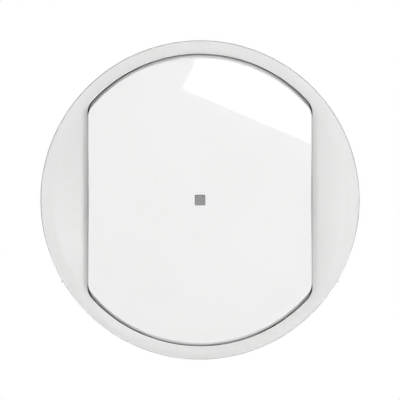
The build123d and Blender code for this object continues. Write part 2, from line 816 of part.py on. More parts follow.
# Rear housing: rounded square box, latch fingers, vents, screw bosses and ledges
with BuildPart() as rear_housing:
    with BuildSketch(front(-housing_depth)):
        RectangleRounded(housing_size, housing_size, housing_corner)
    extrude(amount=housing_depth)
    fillet(rear_housing.faces().sort_by(Axis.Y)[-1].edges(), housing_edge_radius)
    with BuildSketch(front(-rear_wall_depth)):
        RectangleRounded(2 * housing_inner, 2 * housing_inner, inner_corner)
    extrude(amount=rear_wall_depth, mode=Mode.SUBTRACT)
    with BuildSketch(front(-boss_length)):
        with GridLocations(2 * screw_square, 2 * screw_square, 2, 2):
            Circle(boss_radius)
        RectangleRounded(housing_size, housing_size, housing_corner, mode=Mode.INTERSECT)
    extrude(amount=boss_length)
    with BuildSketch(front(-boss_length)):
        with GridLocations(2 * screw_square, 2 * screw_square, 2, 2):
            Circle(screw_shank_radius + screw_thread_clearance)
    extrude(amount=boss_length, mode=Mode.SUBTRACT)
    for way in (-1, 1):
        # Ledges that carry the top of the board
        with BuildSketch(front(-rear_wall_depth)):
            with Locations((way * (housing_inner - board_ledge_reach / 2), board_ledge_z)):
                Rectangle(board_ledge_reach, board_ledge_width)
        extrude(amount=rear_wall_depth - board_back)
        # Wedge that snaps behind the support frame, on a finger freed by three slits
        with BuildSketch(level(0)):
            Polygon((way * (housing_half - housing_wall / 2), -latch_frame_gap),
                    (way * (housing_half + latch_proud), -latch_frame_gap),
                    (way * (housing_half + latch_proud), -latch_frame_gap - latch_nose),
                    (way * (housing_half - housing_wall / 2), -latch_frame_gap - latch_length))
        extrude(amount=latch_width / 2, both=True)
        slit_edge = latch_width / 2 + latch_slit
        wall_middle_x = way * (housing_half - housing_wall / 2)
        with BuildSketch(side(wall_middle_x)):
            bar(-slit_edge, slit_edge, -latch_frame_gap, latch_slit - latch_frame_gap)
            for edge in (-1, 1):
                bar(min(edge * latch_width / 2, edge * slit_edge),
                    max(edge * latch_width / 2, edge * slit_edge),
                    -latch_frame_gap - latch_finger_length, -latch_frame_gap)
        extrude(amount=housing_wall, both=True, mode=Mode.SUBTRACT)
    with BuildSketch(front(-housing_depth)):
        with Locations((0, vent_centre_z)):
            with GridLocations(vent_pitch, 1, vent_count, 1):
                SlotOverall(vent_length, vent_width, rotation=90)
    extrude(amount=housing_wall, mode=Mode.SUBTRACT)
    with BuildSketch(front(-housing_depth)):
        bar(-nose_half_width - block_seam, nose_half_width + block_seam,
            -housing_size, nose_roof_z + block_seam)
    extrude(amount=housing_depth - block_front_depth + block_seam, mode=Mode.SUBTRACT)
keep(rear_housing.part, "rear_housing")

# Housing screws, countersunk in the flange and cut in the housing's bosses
with BuildPart() as housing_screws:
    for x in (-screw_square, screw_square):
        for z in (-screw_square, screw_square):
            with BuildSketch(turned(x, z)):
                sink_depth = (screw_head_radius - screw_shank_radius) \
                    / tan(radians(screw_sink_angle / 2))
                Polygon((0, flange_thickness), (0, flange_thickness - screw_length),
                        (screw_tip_radius, flange_thickness - screw_length),
                        (screw_shank_radius,
                         flange_thickness - screw_length + screw_tip_radius),
                        (screw_shank_radius, flange_thickness - sink_depth),
                        (screw_head_radius, flange_thickness))
            revolve(axis=turning_axis(x, z))
    with BuildSketch(front(flange_thickness - screw_slot_depth)):
        with GridLocations(2 * screw_square, 2 * screw_square, 2, 2):
            Rectangle(2 * screw_head_radius, screw_slot_width, rotation=45)
    extrude(amount=screw_slot_depth, mode=Mode.SUBTRACT)
keep(housing_screws.part, "housing_screws")

# Rear face and underside of the terminal block, flush with the housing
with BuildPart() as block_nose:
    with BuildSketch(front(-housing_depth)):
        RectangleRounded(housing_size, housing_size, housing_corner)
    extrude(amount=housing_depth - block_front_depth)
    fillet(block_nose.faces().sort_by(Axis.Y)[-1].edges(), housing_edge_radius)
    with BuildSketch(front(-housing_depth)):
        bar(-nose_half_width, nose_half_width, -housing_size, nose_roof_z)
    extrude(amount=housing_depth, mode=Mode.INTERSECT)

# Terminal block: wells for the clamps, wire entries below, driver holes behind
with BuildPart() as terminal_block:
    with BuildSketch(front(-rear_wall_depth)):
        bar(-nose_half_width - block_shoulder, nose_half_width + block_shoulder,
            -housing_size, block_roof_z)
        RectangleRounded(2 * housing_inner, 2 * housing_inner, inner_corner, mode=Mode.INTERSECT)
    extrude(amount=rear_wall_depth - block_front_depth)
    add(block_nose.part)
    for way in (-1, 1):
        leg_x = way * (nose_half_width - block_leg_radius)
        with BuildSketch(front(-block_front_depth)):
            with Locations((leg_x, block_roof_z - 2 * block_leg_radius)):
                Circle(block_leg_radius)
        extrude(amount=block_front_depth - board_back)
    for x in terminal_x:
        with BuildSketch(front(-well_back_depth)):
            bar(x - well_half_width, x + well_half_width, well_floor_z, well_roof_z)
        extrude(amount=well_back_depth - block_front_depth, mode=Mode.SUBTRACT)
        with BuildSketch(front(-head_back_depth)):
            with Locations((x, screw_line_z)):
                Circle(terminal_head_radius + terminal_head_clearance)
        extrude(amount=head_back_depth - block_front_depth, mode=Mode.SUBTRACT)
        with BuildSketch(front(-housing_depth)):
            with Locations((x, screw_line_z)):
                Circle(driver_hole_radius)
        extrude(amount=housing_depth - block_front_depth, mode=Mode.SUBTRACT)
        with BuildSketch(front(-busbar_depth - busbar_thickness - busbar_slot_clearance)):
            slot_half = busbar_width / 2 + busbar_slot_clearance
            bar(x - slot_half, x + slot_half, well_roof_z - busbar_slot_clearance,
                busbar_top_z + busbar_slot_clearance)
        extrude(amount=busbar_depth + busbar_thickness + busbar_slot_clearance
                - block_front_depth, mode=Mode.SUBTRACT)
        with BuildSketch(Plane(origin=(x, wire_depth, 0), x_dir=(1, 0, 0), z_dir=(0, 1, 0))):
            Polygon((0, housing_half), (wire_bore_radius + wire_funnel_flare, housing_half),
                    (wire_bore_radius, housing_half - wire_funnel_depth),
                    (wire_bore_radius, -well_floor_z), (0, -well_floor_z))
        revolve(axis=Axis((x, wire_depth, 0), (0, 0, 1)), mode=Mode.SUBTRACT)
keep(terminal_block.part, "terminal_block")

# Three terminals: bent busbar, rising clamp cage and its screw
for name, x in zip(terminal_names, terminal_x):
    with BuildPart() as busbar:
        with BuildSketch(side(x - busbar_width / 2)):
            bar(well_roof_z, busbar_top_z, -busbar_depth - busbar_thickness, -board_back)
            bar(well_floor_z + busbar_floor_gap, busbar_top_z,
                -busbar_depth - busbar_thickness, -busbar_depth)
        extrude(amount=busbar_width)
        with BuildSketch(front(-board_back)):
            with Locations((x, busbar_mid_z)):
                Rectangle(board_pin_width, min(board_pin_width, busbar_thickness))
        extrude(amount=board_thickness + board_pin_stand)
    keep(busbar.part, name + "_busbar")

    with BuildPart() as clamp_cage:
        with BuildSketch(level(screw_line_z + cage_height / 2)):
            bar(x - cage_width / 2, x + cage_width / 2,
                -cage_front_depth - cage_length, -cage_front_depth)
            fillet(vertices(), cage_wall / 2)
            with Locations((x, -cage_front_depth - cage_length / 2)):
                Rectangle(cage_width - 2 * cage_side_wall, cage_window, mode=Mode.SUBTRACT)
        extrude(amount=cage_height)
        with BuildSketch(front(-cage_front_depth - cage_length)):
            with Locations((x, screw_line_z)):
                Circle(terminal_shank_radius + terminal_shank_clearance)
        extrude(amount=cage_wall, mode=Mode.SUBTRACT)
    keep(clamp_cage.part, name + "_clamp_cage")

    with BuildPart() as terminal_screw:
        tip_depth = busbar_depth + busbar_thickness + terminal_tip_gap
        with BuildSketch(turned(x, screw_line_z)):
            Polygon((0, -tip_depth), (terminal_tip_radius, -tip_depth),
                    (terminal_shank_radius, -tip_depth - terminal_tip_radius),
                    (terminal_shank_radius, -head_front_depth),
                    (terminal_head_radius, -head_front_depth),
                    (terminal_head_radius, -head_back_depth), (0, -head_back_depth))
        revolve(axis=turning_axis(x, screw_line_z))
        with BuildSketch(front(-head_back_depth)):
            with Locations((x, screw_line_z)):
                Rectangle(2 * terminal_head_radius, terminal_slot_width)
        extrude(amount=terminal_slot_depth, mode=Mode.SUBTRACT)
    keep(terminal_screw.part, name + "_terminal_screw")

os.makedirs("parts", exist_ok=True)
for piece in pieces:
    export_step(piece, f"parts/{piece.label}.step")
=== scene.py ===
"""Flush wall dimmer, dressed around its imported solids.

The round dished cover, the finger key and the indicator window are surfaces worked out
here as numpy grids and stand in for their plain solids. The other solids stay as they
are and get their finishes. Lengths are in millimetres until a mesh is written. "Out" is
the distance from the rear face of the flange toward the room, so out = -y.
"""

from __future__ import annotations

import json
import logging
import math
from dataclasses import dataclass, field
from enum import Enum
from functools import cached_property

import bmesh
import bpy
import numpy as np
from mathutils import Matrix, Vector

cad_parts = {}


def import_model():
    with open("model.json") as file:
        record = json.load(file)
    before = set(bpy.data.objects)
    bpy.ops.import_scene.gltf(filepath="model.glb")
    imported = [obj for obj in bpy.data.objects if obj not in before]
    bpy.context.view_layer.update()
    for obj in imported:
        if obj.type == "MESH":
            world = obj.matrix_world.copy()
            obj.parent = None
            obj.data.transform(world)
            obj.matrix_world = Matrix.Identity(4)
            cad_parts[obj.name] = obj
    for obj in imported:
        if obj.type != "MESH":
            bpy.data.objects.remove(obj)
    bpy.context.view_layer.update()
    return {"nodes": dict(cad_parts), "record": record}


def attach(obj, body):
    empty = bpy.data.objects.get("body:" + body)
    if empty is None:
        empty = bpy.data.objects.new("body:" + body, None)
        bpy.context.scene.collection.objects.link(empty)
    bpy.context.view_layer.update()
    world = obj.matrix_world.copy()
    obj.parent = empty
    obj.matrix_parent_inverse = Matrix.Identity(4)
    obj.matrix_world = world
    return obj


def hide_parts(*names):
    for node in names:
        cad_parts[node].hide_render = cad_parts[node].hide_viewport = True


LOG = logging.getLogger("dimmer")
MM = 0.001
# In metres: points within MERGED of each other become one, and edges under SLIVER go.
MERGED, SLIVER = 2e-7, 1e-7
# In millimetres: the step from a ring to the next where both would meet.
NEAR = 0.02
# An edge that turns by more than this stays sharp.
SHARP = math.radians(32.0)

Array = np.ndarray
Colour = tuple[float, float, float]
Tree, Node, Socket = bpy.types.NodeTree, bpy.types.Node, bpy.types.NodeSocket
Material, Piece = bpy.types.Material, bpy.types.Object
Value = Socket | float | tuple[float, ...]
Values = dict[str | int, Value]


class Body(Enum):
    """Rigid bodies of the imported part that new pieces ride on."""

    MODULE = "module"
    KEY = "key"


# Mesh making


def place(plan: Array, out: Array | float) -> Array:
    """Points in the part's frame from plan points and heights.

    Args:
        plan: x and z of each point, last axis of length 2.
        out: height toward the room, one number or one per point.

    Returns:
        x, y and z of each point, with y the height turned round.
    """
    height = np.broadcast_to(np.asarray(out, float), plan.shape[:-1])
    return np.stack([plan[..., 0], -height, plan[..., 1]], axis=-1)


def spread(start: float, end: float, count: int) -> Array:
    """Evenly spaced values from start to end, both included."""
    return np.linspace(start, end, count)


def round_turn(count: int) -> Array:
    """Evenly spaced angles once round, from 0 up to one short of a full turn."""
    return spread(0.0, 2 * math.pi, count + 1)[:-1]


def on_circle(angle: Array | float) -> Array:
    """Plan points of the unit circle at the angles."""
    return np.stack([np.cos(angle), np.sin(angle)], axis=-1)


def rectangle(left: float, right: float, low: float, high: float) -> Array:
    """Corners of a rectangle in plan, counter-clockwise from its lower left."""
    return np.array([(left, low), (right, low), (right, high), (left, high)])


def into_scene(name: str, data: bpy.types.ID) -> Piece:
    """Makes an object of a mesh, lamp or camera and links it to the scene.

    Args:
        name: name of the object.
        data: what it shows.

    Returns:
        The object.
    """
    made = bpy.data.objects.new(name, data)
    bpy.context.scene.collection.objects.link(made)
    return made


@dataclass
class Skin:
    """Collects closed surfaces and writes them into one mesh object.

    Attributes:
        name: name of the piece.
        points: blocks of points, in millimetres.
        faces: blocks of faces, numbered over all the blocks.
    """

    name: str
    points: list[Array] = field(default_factory=list)
    faces: list[list[int]] = field(default_factory=list)

    def _count(self) -> int:
        """Number of points so far."""
        return sum(len(block) for block in self.points)

    def add_ring_stack(self, rings: Array, closed: bool = True) -> None:
        """Adds rings of points joined to their neighbours by four-sided faces.

        A face joins points j and j + 1 of ring i to the same points of ring i + 1.

        Args:
            rings: array of rings, points and coordinates.
            closed: whether the last ring joins the first, which makes a bent tube.
        """
        n_rings, n_around = rings.shape[:2]
        first = self._count()
        index = first + np.arange(n_rings * n_around).reshape(n_rings, n_around)
        following = np.roll(index, -1, axis=0)
        if not closed:
            index, following = index[:-1], following[:-1]
        quads = np.stack(
            [index, np.roll(index, -1, axis=1), np.roll(following, -1, axis=1), following], axis=-1
        )
        self.points.append(rings.reshape(-1, 3))
        self.faces.extend(quads.reshape(-1, 4).tolist())

    def add_capped_stack(self, rings: Array) -> None:
        """Adds an open stack of rings and closes its first and last ring with a face."""
        n_rings, n_around = rings.shape[:2]
        first = self._count()
        self.add_ring_stack(rings, closed=False)
        self.faces.append(list(range(first + n_around - 1, first - 1, -1)))
        last = first + (n_rings - 1) * n_around
        self.faces.append(list(range(last, last + n_around)))

    def add_prism(self, outline: Array, low: float, high: float, edge: float = 0.0) -> None:
        """Adds an outline in plan carried from one height to another, with soft ends.

        Args:
            outline: x and z of the outline, counter-clockwise seen from the room.
            low: height of the end near the wall.
            high: height of the end near the room.
            edge: width of the bevel at both ends.
        """
        middle = outline.mean(axis=0)
        reach = np.linalg.norm(outline - middle, axis=1).max()
        drawn_in = middle + (outline - middle) * (1 - edge / reach)
        levels = [(outline, low + edge), (outline, high - edge)]
        if edge:
            levels = [(drawn_in, low), *levels, (drawn_in, high)]
        self.add_capped_stack(np.stack([place(plan, out) for plan, out in levels]))

    def add_slab(self, outline: Array, left: float, right: float) -> None:
        """Adds an outline of up and out carried across from left to right."""
        flat = outline[:, ::-1] * (-1, 1)
        self.add_capped_stack(np.stack([np.insert(flat, 0, x, axis=1) for x in (left, right)]))

    def write(self, body: Body, slot: str, node: str, material: Material) -> Piece:
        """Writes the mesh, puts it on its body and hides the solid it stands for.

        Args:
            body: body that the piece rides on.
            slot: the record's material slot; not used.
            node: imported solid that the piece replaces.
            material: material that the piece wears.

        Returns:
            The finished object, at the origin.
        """
        mesh = bpy.data.meshes.new(self.name)
        mesh.from_pydata(np.concatenate(self.points) * MM, [], self.faces)
        work = bmesh.new()
        work.from_mesh(mesh)
        bmesh.ops.remove_doubles(work, verts=work.verts, dist=MERGED)
        bmesh.ops.dissolve_degenerate(work, edges=work.edges, dist=SLIVER)
        bmesh.ops.recalc_face_normals(work, faces=work.faces)
        work.to_mesh(mesh)
        work.free()
        mesh.polygons.foreach_set("use_smooth", np.ones(len(mesh.polygons), bool))
        mesh.set_sharp_from_angle(angle=SHARP)
        mesh.materials.append(material)
        piece = into_scene(self.name, mesh)
        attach(piece, body.value)
        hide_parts(node)
        LOG.info("%s: %d points, %d faces", self.name, len(mesh.vertices), len(mesh.polygons))
        return piece


# Finishes


# Types of the shared groups' sockets that aren't plain numbers.
SOCKET_TYPES = {"Vector": "NodeSocketVector", "Normal": "NodeSocketVector",
                "Colour": "NodeSocketColor", "Second Colour": "NodeSocketColor"}


def fill(tree: Tree, node: Node, values: Values) -> Node:
    """Links a node's inputs to the values that are sockets, and sets the others.

    Args:
        tree: node tree.
        node: node whose inputs are filled.
        values: name or place of an input to its value.

    Returns:
        The node.
    """
    for label, value in values.items():
        if isinstance(value, Socket):
            tree.links.new(value, node.inputs[label])
        else:
            node.inputs[label].default_value = value
    return node


def add_node(tree: Tree, kind: str, values: Values | None = None) -> Node:
    """Adds a shader node of a kind and fills its inputs."""
    return fill(tree, tree.nodes.new("ShaderNode" + kind), values or {})


def new_group(name: str, inputs: tuple[str, ...],
              outputs: tuple[str, ...]) -> tuple[Tree, bpy.types.NodeOutputs, Node]:
    """Makes a shader node group with named sockets.

    Args:
        name: name of the group.
        inputs: names of the inputs.
        outputs: names of the outputs.

    Returns:
        The group, the sockets of its input node, and its output node.
    """
    group = bpy.data.node_groups.new(name, "ShaderNodeTree")
    for way, labels in (("INPUT", inputs), ("OUTPUT", outputs)):
        for label in labels:
            kind = SOCKET_TYPES.get(label, "NodeSocketFloat")
            group.interface.new_socket(label, in_out=way, socket_type=kind)
    given = group.nodes.new("NodeGroupInput").outputs
    return group, given, group.nodes.new("NodeGroupOutput")


def math_node(tree: Tree, operation: str, *values: Value, clamp: bool = False) -> Socket:
    """Adds a Math node and fills its inputs.

    Args:
        tree: node tree.
        operation: the node's operation.
        values: a socket or a number for each of the node's inputs.
        clamp: whether the result stays from 0 to 1.

    Returns:
        The node's output socket.
    """
    node = add_node(tree, "Math")
    node.operation, node.use_clamp = operation, clamp
    return fill(tree, node, dict(enumerate(values))).outputs[0]


def stretched(tree: Tree, value: Socket, low: float, gain: float) -> Socket:
    """A value's excess over a low limit, times a gain, kept from 0 to 1."""
    return math_node(tree, "MULTIPLY", math_node(tree, "SUBTRACT", value, low), gain, clamp=True)


def mix_colour(tree: Tree, share: Value, first: Value, second: Value) -> Socket:
    """Adds a Mix node for colours.

    Args:
        tree: node tree.
        share: share of the second colour.
        first: first colour.
        second: second colour.

    Returns:
        The socket of the mixed colour.
    """
    node = add_node(tree, "Mix")
    node.data_type = "RGBA"
    return fill(tree, node, {0: share, 6: first, 7: second}).outputs[2]


def noise(tree: Tree, vector: Socket, scale: Value, detail: float, rough: float) -> Socket:
    """Adds a Noise Texture.

    Args:
        tree: node tree.
        vector: coordinates of the pattern.
        scale: fineness of the pattern, per metre.
        detail: octaves of finer noise.
        rough: strength of each finer octave.

    Returns:
        The socket of the noise's value.
    """
    values = {"Vector": vector, "Scale": scale, "Detail": detail, "Roughness": rough}
    return add_node(tree, "TexNoise", values).outputs[0]


@dataclass
class SharedEffects:
    """Node groups that the finishes share, each built once, on first use.

    Attributes:
        grain_noise and others of this name: octaves and roughness of the noise.
        wave_scale: fineness of the grain's long wave against the grain's own.
        drift_low, drift_gain: noise value where the drift starts, and how fast it runs.
        speck_low, speck_gain: noise value where a speck starts, and how sharp its edge is.
    """

    grain_noise: tuple[float, float] = (3.0, 0.6)
    wave_noise: tuple[float, float] = (1.0, 0.4)
    drift_noise: tuple[float, float] = (4.0, 0.55)
    speck_noise: tuple[float, float] = (2.0, 0.7)
    wave_scale: float = 0.12
    drift_low: float = 0.36
    drift_gain: float = 3.2
    speck_low: float = 0.66
    speck_gain: float = 9.0

    @cached_property
    def grain(self) -> Tree:
        """Fine moulded grain over a long soft wave, as a normal and a mask."""
        tree, given, result = new_group(
            "moulded_grain", ("Vector", "Scale", "Height", "Amount"), ("Normal", "Mask"))
        fine = noise(tree, given["Vector"], given["Scale"], *self.grain_noise)
        slow = math_node(tree, "MULTIPLY", given["Scale"], self.wave_scale)
        wave = noise(tree, given["Vector"], slow, *self.wave_noise)
        share = math_node(tree, "MULTIPLY", wave, given["Amount"])
        bump = add_node(tree, "Bump", {"Distance": given["Height"],
                                       "Height": math_node(tree, "ADD", fine, share)})
        fill(tree, result, {"Normal": bump.outputs[0], "Mask": fine})
        return tree

    @cached_property
    def drift(self) -> Tree:
        """Slow drift between two near colours."""
        tree, given, result = new_group(
            "colour_drift", ("Vector", "Scale", "Colour", "Second Colour"), ("Colour",))
        value = noise(tree, given["Vector"], given["Scale"], *self.drift_noise)
        share = stretched(tree, value, self.drift_low, self.drift_gain)
        mixed = mix_colour(tree, share, given["Colour"], given["Second Colour"])
        fill(tree, result, {"Colour": mixed})
        return tree

    @cached_property
    def specks(self) -> Tree:
        """Sparse small specks, as a mask: the spots where a noise passes a limit."""
        tree, given, result = new_group(
            "sparse_specks", ("Vector", "Scale", "Amount"), ("Mask",))
        value = noise(tree, given["Vector"], given["Scale"], *self.speck_noise)
        passed = stretched(tree, value, self.speck_low, self.speck_gain)
        scaled = math_node(tree, "MULTIPLY", passed, given["Amount"])
        fill(tree, result, {"Mask": scaled})
        return tree


@dataclass(frozen=True)
class Finish:
    """A moulded, metal or coated surface with a grain, a colour drift and specks.

    Attributes:
        name: material name.
        colour: main colour, linear.
        second: colour that the drift runs to.
        roughness: lowest and highest roughness.
        grain_scale: fineness of the grain, per metre.
        grain_height: height of the grain, in metres.
        metallic: 0 for plastics and coatings, 1 for bare metal.
        wave: share of the long soft wave in the grain.
        drift_scale: fineness of the colour drift, per metre.
        specks: strength of the sparse specks.
        speck_scale: fineness of the specks, per metre.
        speck_tone: brightness of the specks against the second colour.
        stretch: scale of the pattern along x, y and z, for drawn or brushed metal.
        coat: weight of a clear glossy coat.
        clear: 1 for a clear body, 0 for an opaque one.
        ior: refractive index.
    """

    name: str
    colour: Colour
    second: Colour
    roughness: tuple[float, float]
    grain_scale: float = 6000.0
    grain_height: float = 1e-5
    metallic: float = 0.0
    wave: float = 0.25
    drift_scale: float = 150.0
    specks: float = 0.3
    speck_scale: float = 900.0
    speck_tone: float = 0.72
    stretch: tuple[float, float, float] = (1.0, 1.0, 1.0)
    coat: float = 0.0
    clear: float = 0.0
    ior: float = 1.5

    def material(self, shared: SharedEffects) -> Material:
        """Builds the material from the shared effects.

        Args:
            shared: the shared node groups.

        Returns:
            A node material read in Object coordinates.
        """
        made = bpy.data.materials.new(self.name)
        made.use_nodes = True
        tree = made.node_tree
        where = add_node(tree, "TexCoord").outputs["Object"]
        mapping = add_node(tree, "Mapping", {"Vector": where, "Scale": self.stretch})
        given = (
            (shared.grain, {"Scale": self.grain_scale, "Height": self.grain_height,
                            "Amount": self.wave}),
            (shared.drift, {"Scale": self.drift_scale, "Colour": (*self.colour, 1),
                            "Second Colour": (*self.second, 1)}),
            (shared.specks, {"Scale": self.speck_scale, "Amount": self.specks}),
        )
        grain, drift, specks = (
            self._effect(tree, group, {"Vector": mapping.outputs[0]} | values)
            for group, values in given
        )
        dulled = (*(self.speck_tone * part for part in self.second), 1)
        low, high = self.roughness
        fill(tree, tree.nodes["Principled BSDF"], {
            "Base Color": mix_colour(tree, specks["Mask"], drift["Colour"], dulled),
            "Roughness": math_node(tree, "MULTIPLY_ADD", grain["Mask"], high - low, low),
            "Normal": grain["Normal"],
            "Metallic": self.metallic,
            "Coat Weight": self.coat,
            "Transmission Weight": self.clear,
            "IOR": self.ior,
        })
        return made

    @staticmethod
    def _effect(tree: Tree, group: Tree, values: Values) -> bpy.types.NodeOutputs:
        """Places a shared group in a material.

        Args:
            tree: the material's node tree.
            group: the shared group.
            values: input name to its value.

        Returns:
            The group's output sockets.
        """
        node = add_node(tree, "Group")
        node.node_tree = group
        return fill(tree, node, values).outputs


# Rows: name, colour, second colour, roughness, grain scale and height, then what differs.
# The key's white and the cover's are a lighter and a darker copy of the one white plastic, so the
# key's face reads brighter than the dish: painted light and shade.
WHITE_GLOSS = Finish("white_gloss", (0.905, 0.905, 0.902), (0.895, 0.895, 0.891), (0.015, 0.03),
                     700, 6e-7, wave=1.2, drift_scale=60, specks=0.02)
WHITE_SATIN = Finish("white_satin", (0.838, 0.838, 0.834), (0.828, 0.828, 0.824), (0.12, 0.2),
                     1500, 1.5e-6, wave=1.2, drift_scale=60, specks=0.03)
SMOKED = Finish("smoked_window", (0.44, 0.44, 0.44), (0.41, 0.41, 0.412), (0.12, 0.2),
                3000, 1e-6, wave=0.6, drift_scale=900, specks=0.1)
OTHER_FINISHES = (
    SMOKED,
    Finish("clear_rod", (0.93, 0.94, 0.94), (0.9, 0.91, 0.91), (0.02, 0.08),
           1500, 1e-6, specks=0.05, clear=1.0, ior=1.49),
    Finish("grey_moulding", (0.52, 0.53, 0.54), (0.48, 0.49, 0.5), (0.38, 0.55), 5000, 1.2e-5),
    Finish("natural_moulding", (0.66, 0.63, 0.55), (0.6, 0.57, 0.5), (0.35, 0.5)),
    Finish("spring_steel", (0.55, 0.55, 0.53), (0.46, 0.46, 0.45), (0.18, 0.34),
           9000, 4e-6, metallic=1.0),
    Finish("board_laminate", (0.015, 0.09, 0.035), (0.03, 0.14, 0.05), (0.22, 0.36),
           2500, coat=0.3, drift_scale=700),
    Finish("black_moulding", (0.018, 0.018, 0.02), (0.03, 0.03, 0.032), (0.42, 0.62), 12000),
    Finish("ferrite", (0.035, 0.034, 0.035), (0.06, 0.056, 0.055), (0.55, 0.8), 9000, 3e-5),
    Finish("enamelled_copper", (0.5, 0.17, 0.06), (0.38, 0.12, 0.04), (0.16, 0.3),
           metallic=0.85, coat=0.5, stretch=(1.0, 8.0, 1.0)),
    Finish("film_case", (0.62, 0.42, 0.03), (0.56, 0.37, 0.03), (0.35, 0.5), 8000),
    Finish("sleeve", (0.012, 0.016, 0.05), (0.02, 0.026, 0.07), (0.2, 0.32), coat=0.2),
    Finish("varistor_coating", (0.02, 0.06, 0.28), (0.03, 0.09, 0.34), (0.28, 0.42), 3500, 3e-5),
    Finish("fuse_glass", (0.62, 0.58, 0.46), (0.55, 0.51, 0.4), (0.14, 0.3), coat=0.4),
    Finish("heatsink_aluminium", (0.6, 0.61, 0.62), (0.5, 0.51, 0.52), (0.28, 0.48),
           grain_height=8e-6, metallic=1.0, stretch=(1.0, 0.08, 1.0)),
    Finish("housing_moulding", (0.5, 0.51, 0.52), (0.46, 0.47, 0.48), (0.42, 0.62), 4200, 2e-5),
    Finish("terminal_moulding", (0.035, 0.038, 0.042), (0.05, 0.054, 0.06), (0.4, 0.6), 4200, 2e-5),
    Finish("zinc_steel", (0.5, 0.51, 0.5), (0.38, 0.39, 0.38), (0.24, 0.46),
           3000, 8e-6, metallic=1.0, drift_scale=500),
    Finish("brass", (0.62, 0.42, 0.16), (0.48, 0.31, 0.11), (0.22, 0.42),
           4000, 6e-6, metallic=1.0, drift_scale=400),
)
FINISHES = {"white_gloss_plastic": WHITE_GLOSS} | {made.name: made for made in OTHER_FINISHES}


@dataclass
class Paintbox:
    """Makes each finish's material once, from the shared effects."""

    shared: SharedEffects = field(default_factory=SharedEffects)
    made: dict[str, Material] = field(default_factory=dict)

    def coat(self, finish: Finish) -> Material:
        """The finish's material, made on first use."""
        if finish.name not in self.made:
            self.made[finish.name] = finish.material(self.shared)
        return self.made[finish.name]


@dataclass
class PackedSolids:
    """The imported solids, which keep their shapes and get their finishes here."""

    nodes: dict[str, Piece]
    record: dict

    def dress(self, paint: Paintbox) -> None:
        """Puts the finish of its slot on every solid."""
        for part in self.record["subparts"]:
            finish = FINISHES[part["material_slot"]]
            for socket in self.nodes[part["node"]].material_slots:
                socket.material = paint.coat(finish)
            LOG.info("%s wears %s", part["node"], finish.name)


# Shapes of the front


@dataclass(frozen=True)
class KeyOutline:
    """A disc cut by two upright sides, its four corners rounded.

    Attributes:
        radius: radius of the round ends.
        half_width: middle to the upright sides.
        corner: radius of the corners.
        side_points, corner_points, end_points: number of points along each.
    """

    radius: float = 28.2
    half_width: float = 21.65
    corner: float = 3.4
    side_points: int = 72
    corner_points: int = 28
    end_points: int = 132

    def trace(self) -> tuple[Array, Array]:
        """Points along the outline and its outward normals.

        Each run is a stretch of angles about a centre: a side has one normal and a sliding
        centre, the corners and the end a fixed centre and a turning normal. The other half
        is the same, turned by half a circle.

        Returns:
            Plan points and plan normals, counter-clockwise from the lower right corner.
        """
        across = self.half_width - self.corner
        up = math.sqrt((self.radius - self.corner) ** 2 - across**2)
        turn, half = math.atan2(up, across), math.pi
        runs = (
            (across, -up, up, 0.0, 0.0, self.corner, self.side_points),
            (across, up, up, 0.0, turn, self.corner, self.corner_points),
            (0.0, 0.0, 0.0, turn, half - turn, self.radius, self.end_points),
            (-across, up, up, half - turn, half, self.corner, self.corner_points),
        )
        rows = []
        for x, z_from, z_to, angle_from, angle_to, radius, count in runs:
            share = np.arange(count) / count
            normal = on_circle(angle_from + (angle_to - angle_from) * share)
            centre = np.stack([np.full(count, x), z_from + (z_to - z_from) * share], axis=-1)
            rows.append(np.concatenate([centre + radius * normal, normal], axis=1))
        first = np.concatenate(rows)
        both = np.concatenate([first, -first])
        return both[:, :2], both[:, 2:]

    def inset(self, distance: float | Array) -> Array:
        """The outline moved inward along its normals, by one distance or one per point."""
        points, normals = self.trace()
        return points - np.reshape(distance, (-1, 1)) * normals


def rounded_square_at(directions: Array, half: float, corner: float) -> Array:
    """Points of a square with rounded corners, in the directions of other points.

    A ray from the middle meets a flat side where its larger coordinate is half the side.
    Beyond the flat stretch it meets the corner's circle, at the quadratic's larger root.

    Args:
        directions: plan points that give the directions.
        half: half the square's side.
        corner: radius of its corners.

    Returns:
        Plan points on the square.
    """
    ray = directions / np.linalg.norm(directions, axis=1, keepdims=True)
    flat = ray / np.abs(ray).max(axis=1, keepdims=True) * half
    centre = (half - corner) * np.sign(ray)
    along = (ray * centre).sum(axis=1)
    root = np.sqrt(np.maximum(along**2 - (centre**2).sum(axis=1) + corner**2, 0))
    turned = np.abs(flat).min(axis=1) > half - corner
    return np.where(turned[:, None], ray * (along + root)[:, None], flat)


